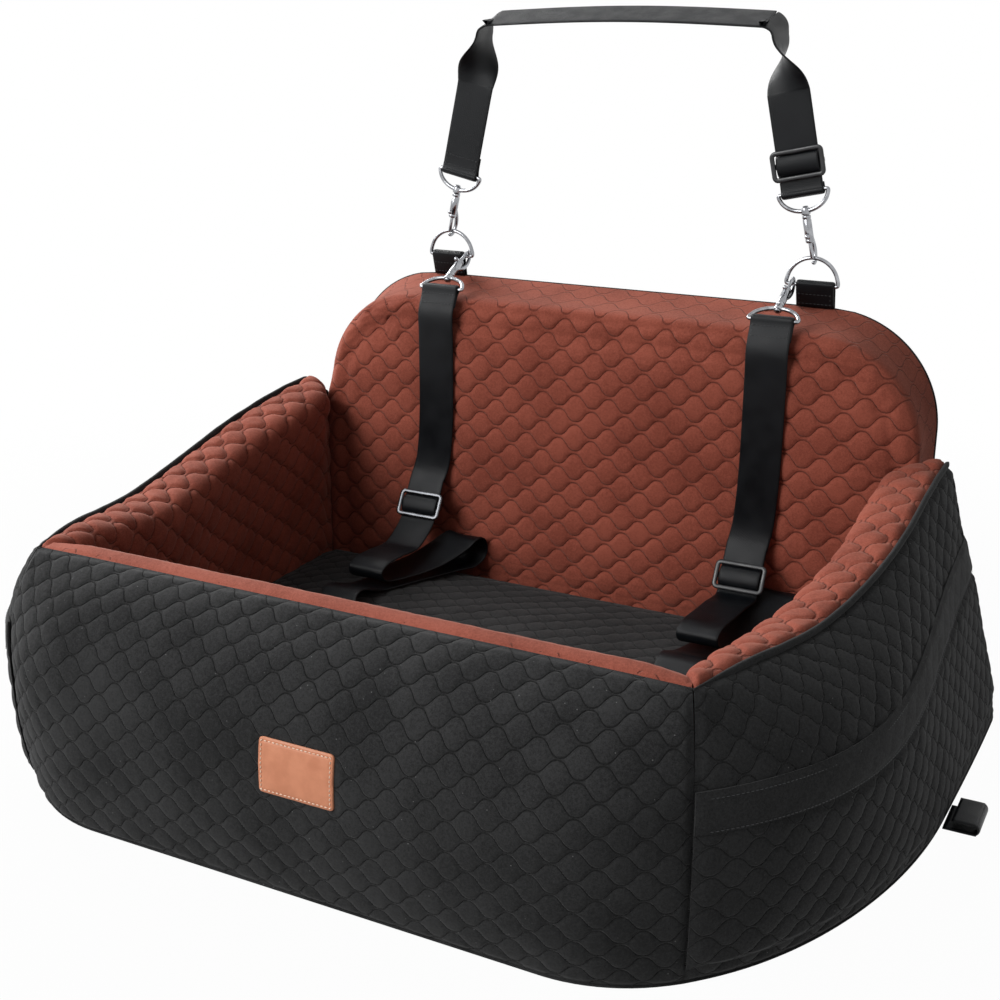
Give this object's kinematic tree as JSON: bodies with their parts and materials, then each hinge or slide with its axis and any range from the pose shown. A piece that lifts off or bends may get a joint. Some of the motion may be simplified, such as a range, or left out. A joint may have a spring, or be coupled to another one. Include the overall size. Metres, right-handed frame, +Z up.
{
  "type": "dog car seat",
  "caption": "Padded tub for a dog on a car seat, with a tall backrest, side pockets, a clip-on hand strap and tethers with swivel bolt snaps.",
  "frame": {"origin": "middle of the flat underside", "axes": "+X to the right seen from the front, +Y to the back, +Z up"},
  "size_m": [0.8134, 0.5787, 0.5851],
  "materials": {
    "foam": "soft foam",
    "black_quilt": "black quilted fabric",
    "rust_quilt": "rust red quilted fabric",
    "webbing": "black woven webbing, satin",
    "chrome": "bright plated metal",
    "black_plastic": "black satin plastic",
    "leather": "tan leather label"
  },
  "bodies": {
    "seat": {"base_loop_left": "webbing", "base_loop_right": "webbing", "cover_back": "black_quilt", "cover_base": "black_quilt", "cover_front": "black_quilt", "cover_left": "black_quilt", "cover_right": "black_quilt", "foam_back": "foam", "foam_front": "foam", "foam_left": "foam", "foam_right": "foam", "leather_patch": "leather", "liner_back": "rust_quilt", "liner_front": "rust_quilt", "liner_left": "rust_quilt", "liner_right": "rust_quilt", "pocket_hem_left": "black_quilt", "pocket_hem_right": "black_quilt", "pocket_left": "black_quilt", "pocket_right": "black_quilt", "seat_cushion": "black_quilt", "tab_left": "webbing", "tab_right": "webbing"},
    "ring_left": {"ring_left": "chrome"},
    "ring_right": {"ring_right": "chrome"},
    "handle": {"carry_strap": "webbing", "carry_left_snap_eye": "chrome", "carry_right_snap_eye": "chrome"},
    "carry_slider": {"carry_slider": "black_plastic"},
    "carry_left_hook": {"carry_left_snap_hook": "chrome"},
    "carry_left_bolt": {"carry_left_snap_bolt": "chrome"},
    "carry_right_hook": {"carry_right_snap_hook": "chrome"},
    "carry_right_bolt": {"carry_right_snap_bolt": "chrome"},
    "tether_left": {"tether_strap_left": "webbing", "tether_left_snap_eye": "chrome", "leash_left_snap_eye": "chrome"},
    "tether_slider_left": {"tether_slider_left": "chrome"},
    "tether_left_hook": {"tether_left_snap_hook": "chrome"},
    "tether_left_bolt": {"tether_left_snap_bolt": "chrome"},
    "leash_left_hook": {"leash_left_snap_hook": "chrome"},
    "leash_left_bolt": {"leash_left_snap_bolt": "chrome"},
    "tether_right": {"tether_strap_right": "webbing", "tether_right_snap_eye": "chrome", "leash_right_snap_eye": "chrome"},
    "tether_slider_right": {"tether_slider_right": "black_plastic"},
    "tether_right_hook": {"tether_right_snap_hook": "chrome"},
    "tether_right_bolt": {"tether_right_snap_bolt": "chrome"},
    "leash_right_hook": {"leash_right_snap_hook": "chrome"},
    "leash_right_bolt": {"leash_right_snap_bolt": "chrome"}
  },
  "joints": [
    {"name": "ring_left_hinge", "type": "hinge", "parent": "seat", "child": "ring_left", "pos_m": [-0.182, 0.278, 0.357], "axis": [1, 0, 0], "range_deg": [-80, 40]},
    {"name": "ring_right_hinge", "type": "hinge", "parent": "seat", "child": "ring_right", "pos_m": [0.182, 0.278, 0.357], "axis": [1, 0, 0], "range_deg": [-80, 40]},
    {"name": "handle_hinge", "type": "hinge", "parent": "ring_left", "child": "handle", "pos_m": [-0.182, 0.278, 0.381], "axis": [1, 0, 0], "range_deg": [-15, 15]},
    {"name": "carry_slider_slide", "type": "slide", "parent": "handle", "child": "carry_slider", "axis": [-0.2118, 0, 0.9773], "range_m": [0, 0.038]},
    {"name": "carry_left_swivel", "type": "hinge", "parent": "handle", "child": "carry_left_hook", "pos_m": [-0.17387, 0.2741, 0.41853], "axis": [0.2118, 0, 0.9773], "range_deg": [-6, 6]},
    {"name": "carry_left_bolt_slide", "type": "slide", "parent": "carry_left_hook", "child": "carry_left_bolt", "axis": [0.2118, 0, 0.9773], "range_m": [0, 0.0085], "stiffness_N_per_m": 60, "springref_m": -0.002},
    {"name": "carry_right_swivel", "type": "hinge", "parent": "handle", "child": "carry_right_hook", "pos_m": [0.17387, 0.2741, 0.41853], "axis": [-0.2118, 0, 0.9773], "range_deg": [-6, 6]},
    {"name": "carry_right_bolt_slide", "type": "slide", "parent": "carry_right_hook", "child": "carry_right_bolt", "axis": [-0.2118, 0, 0.9773], "range_m": [0, 0.0085], "stiffness_N_per_m": 60, "springref_m": -0.002},
    {"name": "tether_left_hinge", "type": "hinge", "parent": "seat", "child": "tether_left", "pos_m": [-0.16455, 0.278, 0.357], "axis": [1, 0, 0], "range_deg": [-25, 0]},
    {"name": "tether_slider_left_slide", "type": "slide", "parent": "tether_left", "child": "tether_slider_left", "axis": [0, 0.5, 0.866], "range_m": [-0.003, 0.012]},
    {"name": "tether_left_swivel", "type": "hinge", "parent": "tether_left", "child": "tether_left_hook", "pos_m": [-0.16455, 0.24214, 0.34273], "axis": [0, -0.887, -0.4618], "range_deg": [-6, 6]},
    {"name": "tether_left_bolt_slide", "type": "slide", "parent": "tether_left_hook", "child": "tether_left_bolt", "axis": [0, -0.887, -0.4618], "range_m": [0, 0.0085], "stiffness_N_per_m": 60, "springref_m": -0.002},
    {"name": "leash_left_swivel", "type": "hinge", "parent": "tether_left", "child": "leash_left_hook", "pos_m": [-0.18055, 0.0154, 0.0668], "axis": [0, 1, 0], "range_deg": [-12, 18]},
    {"name": "leash_left_bolt_slide", "type": "slide", "parent": "leash_left_hook", "child": "leash_left_bolt", "axis": [0, 1, 0], "range_m": [0, 0.0085], "stiffness_N_per_m": 60, "springref_m": -0.002},
    {"name": "tether_right_hinge", "type": "hinge", "parent": "seat", "child": "tether_right", "pos_m": [0.16455, 0.278, 0.357], "axis": [1, 0, 0], "range_deg": [-25, 0]},
    {"name": "tether_slider_right_slide", "type": "slide", "parent": "tether_right", "child": "tether_slider_right", "axis": [0, 0.5, 0.866], "range_m": [-0.003, 0.012]},
    {"name": "tether_right_swivel", "type": "hinge", "parent": "tether_right", "child": "tether_right_hook", "pos_m": [0.16455, 0.24214, 0.34273], "axis": [0, -0.887, -0.4618], "range_deg": [-6, 6]},
    {"name": "tether_right_bolt_slide", "type": "slide", "parent": "tether_right_hook", "child": "tether_right_bolt", "axis": [0, -0.887, -0.4618], "range_m": [0, 0.0085], "stiffness_N_per_m": 60, "springref_m": -0.002},
    {"name": "leash_right_swivel", "type": "hinge", "parent": "tether_right", "child": "leash_right_hook", "pos_m": [0.15255, 0.0154, 0.0668], "axis": [0, 1, 0], "range_deg": [-12, 18]},
    {"name": "leash_right_bolt_slide", "type": "slide", "parent": "leash_right_hook", "child": "leash_right_bolt", "axis": [0, 1, 0], "range_m": [0, 0.0085], "stiffness_N_per_m": 60, "springref_m": -0.002}
  ],
  "couplings": [
    {"joint": "ring_right_hinge", "follows": "ring_left_hinge", "ratio": 1}
  ]
}
